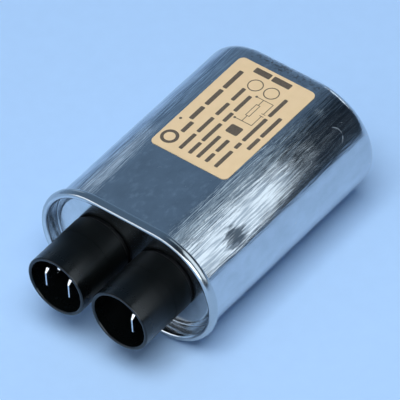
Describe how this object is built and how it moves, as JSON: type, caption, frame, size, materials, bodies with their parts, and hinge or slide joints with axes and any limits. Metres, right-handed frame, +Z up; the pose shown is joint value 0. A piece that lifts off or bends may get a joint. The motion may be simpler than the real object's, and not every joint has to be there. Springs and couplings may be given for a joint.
{
  "type": "high voltage capacitor",
  "caption": "Oil-filled high voltage capacitor in a seamed oval metal can lying on its broad side, with push-on tabs inside black insulating cups.",
  "frame": {"origin": "under the middle of the part's overall box, at the lowest line of the seamed rim", "axes": "+X across the can from the twin-tab terminal to the single-tab terminal, +Y from the terminals to the closed end, +Z up from the broad side it lies on to the labelled side"},
  "size_m": [0.0542, 0.083, 0.0354],
  "materials": {
    "can_aluminium": "drawn sheet, satin, fine streaks along its length",
    "lid_metal": "pressed sheet, bright",
    "cup_plastic": "black moulded plastic, satin",
    "gasket_rubber": "black rubber, matt",
    "seam_compound": "cured sealing compound",
    "tinned_brass": "tin plated, bright",
    "rivet_steel": "plated, bright",
    "tinned_copper": "tinned strip and wire, dull",
    "solder": "frozen solder, dull",
    "washer_board": "brown laminated board",
    "winding_film": "foil and clear film, wound tight",
    "press_board": "pale pressed paper board",
    "resistor_body": "lacquered body",
    "sleeve_plastic": "shrunk plastic sleeve",
    "label_film": "printed film, satin"
  },
  "bodies": {
    "root": {"can": "can_aluminium", "can_lid": "lid_metal", "seam_seal": "seam_compound", "label": "label_film", "left_cup": "cup_plastic", "right_cup": "cup_plastic", "left_gasket": "gasket_rubber", "right_gasket": "gasket_rubber", "twin_tab_terminal": "tinned_brass", "single_tab_terminal": "tinned_brass", "left_rivet": "rivet_steel", "right_rivet": "rivet_steel", "left_washer": "washer_board", "right_washer": "washer_board", "left_lug": "tinned_copper", "right_lug": "tinned_copper", "short_lead": "tinned_copper", "long_lead": "tinned_copper", "near_end_solder": "solder", "far_end_solder": "solder", "winding": "winding_film", "winding_wrap": "press_board", "base_board": "press_board", "top_board": "press_board", "discharge_resistor": "resistor_body", "left_resistor_wire": "tinned_copper", "right_resistor_wire": "tinned_copper", "resistor_sleeve": "sleeve_plastic"}
  },
  "joints": []
}
